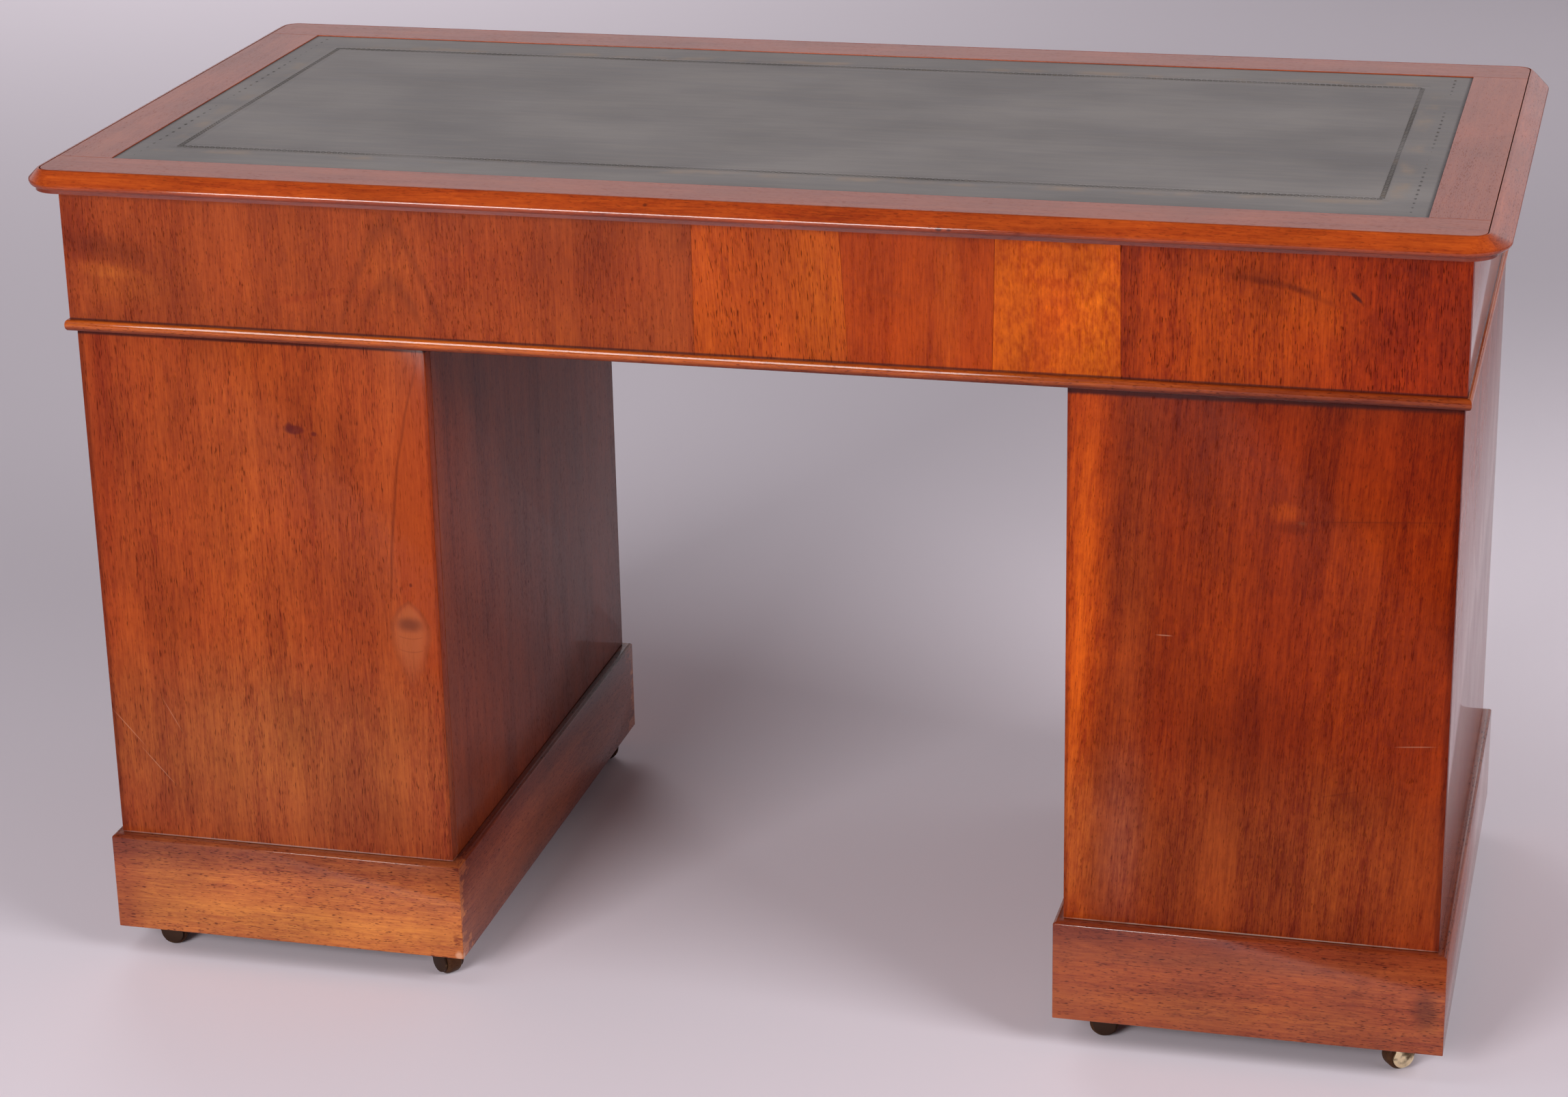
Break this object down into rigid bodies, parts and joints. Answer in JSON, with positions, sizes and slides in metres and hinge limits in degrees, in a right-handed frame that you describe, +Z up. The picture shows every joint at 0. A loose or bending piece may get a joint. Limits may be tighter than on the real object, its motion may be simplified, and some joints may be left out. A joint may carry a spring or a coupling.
{
  "type": "kneehole desk",
  "caption": "Pedestal writing desk with a leather inset top, a frieze and two pedestals of sliding drawers, on plinths with swivelling castors.",
  "frame": {"origin": "on the floor, under the middle of the desk", "axes": "+Z up; +X along the length, to the right of a person sitting at the drawer side; +Y towards the plain veneered back"},
  "size_m": [1.272, 0.616, 0.762],
  "materials": {
    "polished_mahogany": "French-polished mahogany veneer with open grain",
    "top_mahogany": "French-polished mahogany, paler and pinker from light on the top",
    "turned_mahogany": "turned mahogany, polished",
    "core_board": "plain board, hidden",
    "drawer_lining": "unpolished oak",
    "tooled_leather": "dark green-grey skiver with a tooled border, satin",
    "castor_brass": "aged brass",
    "castor_roller": "dark stained hardwood"
  },
  "bodies": {
    "root": {"top_board": "core_board", "top_banding": "top_mahogany", "top_leather": "tooled_leather", "top_edge_moulding": "top_mahogany", "frieze_back": "polished_mahogany", "frieze_end_left": "polished_mahogany", "frieze_end_right": "polished_mahogany", "frieze_front_frame": "polished_mahogany", "frieze_runner_bed": "drawer_lining", "frieze_bead": "polished_mahogany", "pedestal_left_case": "polished_mahogany", "pedestal_left_back": "polished_mahogany", "pedestal_left_plinth": "polished_mahogany", "pedestal_right_case": "polished_mahogany", "pedestal_right_back": "polished_mahogany", "pedestal_right_plinth": "polished_mahogany"},
    "frieze_left_drawer": {"frieze_left_drawer_front": "polished_mahogany", "frieze_left_drawer_box": "drawer_lining", "frieze_left_drawer_knob": "turned_mahogany"},
    "frieze_centre_drawer": {"frieze_centre_drawer_front": "polished_mahogany", "frieze_centre_drawer_box": "drawer_lining", "frieze_centre_drawer_knob_left": "turned_mahogany", "frieze_centre_drawer_knob_right": "turned_mahogany"},
    "frieze_right_drawer": {"frieze_right_drawer_front": "polished_mahogany", "frieze_right_drawer_box": "drawer_lining", "frieze_right_drawer_knob": "turned_mahogany"},
    "pedestal_left_upper_drawer": {"pedestal_left_upper_drawer_front": "polished_mahogany", "pedestal_left_upper_drawer_box": "drawer_lining", "pedestal_left_upper_drawer_knob": "turned_mahogany"},
    "pedestal_left_middle_drawer": {"pedestal_left_middle_drawer_front": "polished_mahogany", "pedestal_left_middle_drawer_box": "drawer_lining", "pedestal_left_middle_drawer_knob": "turned_mahogany"},
    "pedestal_left_lower_drawer": {"pedestal_left_lower_drawer_front": "polished_mahogany", "pedestal_left_lower_drawer_box": "drawer_lining", "pedestal_left_lower_drawer_knob": "turned_mahogany"},
    "pedestal_right_upper_drawer": {"pedestal_right_upper_drawer_front": "polished_mahogany", "pedestal_right_upper_drawer_box": "drawer_lining", "pedestal_right_upper_drawer_knob": "turned_mahogany"},
    "pedestal_right_middle_drawer": {"pedestal_right_middle_drawer_front": "polished_mahogany", "pedestal_right_middle_drawer_box": "drawer_lining", "pedestal_right_middle_drawer_knob": "turned_mahogany"},
    "pedestal_right_lower_drawer": {"pedestal_right_lower_drawer_front": "polished_mahogany", "pedestal_right_lower_drawer_box": "drawer_lining", "pedestal_right_lower_drawer_knob": "turned_mahogany"},
    "castor_left_front_outer_swivel": {"castor_left_front_outer_fork": "castor_brass"},
    "castor_left_front_outer_roller": {"castor_left_front_outer_wheel": "castor_roller"},
    "castor_left_front_inner_swivel": {"castor_left_front_inner_fork": "castor_brass"},
    "castor_left_front_inner_roller": {"castor_left_front_inner_wheel": "castor_roller"},
    "castor_left_back_outer_swivel": {"castor_left_back_outer_fork": "castor_brass"},
    "castor_left_back_outer_roller": {"castor_left_back_outer_wheel": "castor_roller"},
    "castor_left_back_inner_swivel": {"castor_left_back_inner_fork": "castor_brass"},
    "castor_left_back_inner_roller": {"castor_left_back_inner_wheel": "castor_roller"},
    "castor_right_front_outer_swivel": {"castor_right_front_outer_fork": "castor_brass"},
    "castor_right_front_outer_roller": {"castor_right_front_outer_wheel": "castor_roller"},
    "castor_right_front_inner_swivel": {"castor_right_front_inner_fork": "castor_brass"},
    "castor_right_front_inner_roller": {"castor_right_front_inner_wheel": "castor_roller"},
    "castor_right_back_outer_swivel": {"castor_right_back_outer_fork": "castor_brass"},
    "castor_right_back_outer_roller": {"castor_right_back_outer_wheel": "castor_roller"},
    "castor_right_back_inner_swivel": {"castor_right_back_inner_fork": "castor_brass"},
    "castor_right_back_inner_roller": {"castor_right_back_inner_wheel": "castor_roller"}
  },
  "joints": [
    {"name": "frieze_left_drawer_slide", "type": "slide", "parent": "root", "child": "frieze_left_drawer", "axis": [0, -1, 0], "range_m": [0, 0.37]},
    {"name": "frieze_centre_drawer_slide", "type": "slide", "parent": "root", "child": "frieze_centre_drawer", "axis": [0, -1, 0], "range_m": [0, 0.37]},
    {"name": "frieze_right_drawer_slide", "type": "slide", "parent": "root", "child": "frieze_right_drawer", "axis": [0, -1, 0], "range_m": [0, 0.37]},
    {"name": "pedestal_left_upper_drawer_slide", "type": "slide", "parent": "root", "child": "pedestal_left_upper_drawer", "axis": [0, -1, 0], "range_m": [0, 0.37]},
    {"name": "pedestal_left_middle_drawer_slide", "type": "slide", "parent": "root", "child": "pedestal_left_middle_drawer", "axis": [0, -1, 0], "range_m": [0, 0.37]},
    {"name": "pedestal_left_lower_drawer_slide", "type": "slide", "parent": "root", "child": "pedestal_left_lower_drawer", "axis": [0, -1, 0], "range_m": [0, 0.37]},
    {"name": "pedestal_right_upper_drawer_slide", "type": "slide", "parent": "root", "child": "pedestal_right_upper_drawer", "axis": [0, -1, 0], "range_m": [0, 0.37]},
    {"name": "pedestal_right_middle_drawer_slide", "type": "slide", "parent": "root", "child": "pedestal_right_middle_drawer", "axis": [0, -1, 0], "range_m": [0, 0.37]},
    {"name": "pedestal_right_lower_drawer_slide", "type": "slide", "parent": "root", "child": "pedestal_right_lower_drawer", "axis": [0, -1, 0], "range_m": [0, 0.37]},
    {"name": "castor_left_front_outer_swivel_turn", "type": "hinge", "parent": "root", "child": "castor_left_front_outer_swivel", "pos_m": [-0.58049, -0.24649, 0.04], "axis": [0, 0, 1], "continuous": true},
    {"name": "castor_left_front_outer_roller_turn", "type": "hinge", "parent": "castor_left_front_outer_swivel", "child": "castor_left_front_outer_roller", "pos_m": [-0.58357, -0.25495, 0.0132], "axis": [0.9397, -0.342, 0], "continuous": true},
    {"name": "castor_left_front_inner_swivel_turn", "type": "hinge", "parent": "root", "child": "castor_left_front_inner_swivel", "pos_m": [-0.30551, -0.24649, 0.04], "axis": [0, 0, 1], "continuous": true},
    {"name": "castor_left_front_inner_roller_turn", "type": "hinge", "parent": "castor_left_front_inner_swivel", "child": "castor_left_front_inner_roller", "pos_m": [-0.29735, -0.24269, 0.0132], "axis": [-0.4226, 0.9063, 0], "continuous": true},
    {"name": "castor_left_back_outer_swivel_turn", "type": "hinge", "parent": "root", "child": "castor_left_back_outer_swivel", "pos_m": [-0.58049, 0.24649, 0.04], "axis": [0, 0, 1], "continuous": true},
    {"name": "castor_left_back_outer_roller_turn", "type": "hinge", "parent": "castor_left_back_outer_swivel", "child": "castor_left_back_outer_roller", "pos_m": [-0.57312, 0.25165, 0.0132], "axis": [-0.5736, 0.8192, 0], "continuous": true},
    {"name": "castor_left_back_inner_swivel_turn", "type": "hinge", "parent": "root", "child": "castor_left_back_inner_swivel", "pos_m": [-0.30551, 0.24649, 0.04], "axis": [0, 0, 1], "continuous": true},
    {"name": "castor_left_back_inner_roller_turn", "type": "hinge", "parent": "castor_left_back_inner_swivel", "child": "castor_left_back_inner_roller", "pos_m": [-0.31437, 0.24493, 0.0132], "axis": [0.1736, -0.9848, 0], "continuous": true},
    {"name": "castor_right_front_outer_swivel_turn", "type": "hinge", "parent": "root", "child": "castor_right_front_outer_swivel", "pos_m": [0.58049, -0.24649, 0.04], "axis": [0, 0, 1], "continuous": true},
    {"name": "castor_right_front_outer_roller_turn", "type": "hinge", "parent": "castor_right_front_outer_swivel", "child": "castor_right_front_outer_roller", "pos_m": [0.58627, -0.25339, 0.0132], "axis": [0.766, 0.6428, 0], "continuous": true},
    {"name": "castor_right_front_inner_swivel_turn", "type": "hinge", "parent": "root", "child": "castor_right_front_inner_swivel", "pos_m": [0.30551, -0.24649, 0.04], "axis": [0, 0, 1], "continuous": true},
    {"name": "castor_right_front_inner_roller_turn", "type": "hinge", "parent": "castor_right_front_inner_swivel", "child": "castor_right_front_inner_roller", "pos_m": [0.29705, -0.24957, 0.0132], "axis": [0.342, -0.9397, 0], "continuous": true},
    {"name": "castor_right_back_outer_swivel_turn", "type": "hinge", "parent": "root", "child": "castor_right_back_outer_swivel", "pos_m": [0.58049, 0.24649, 0.04], "axis": [0, 0, 1], "continuous": true},
    {"name": "castor_right_back_outer_roller_turn", "type": "hinge", "parent": "castor_right_back_outer_swivel", "child": "castor_right_back_outer_roller", "pos_m": [0.57152, 0.24571, 0.0132], "axis": [0.0872, -0.9962, 0], "continuous": true},
    {"name": "castor_right_back_inner_swivel_turn", "type": "hinge", "parent": "root", "child": "castor_right_back_inner_swivel", "pos_m": [0.30551, 0.24649, 0.04], "axis": [0, 0, 1], "continuous": true},
    {"name": "castor_right_back_inner_roller_turn", "type": "hinge", "parent": "castor_right_back_inner_swivel", "child": "castor_right_back_inner_roller", "pos_m": [0.29814, 0.25165, 0.0132], "axis": [-0.5736, -0.8192, 0], "continuous": true}
  ]
}
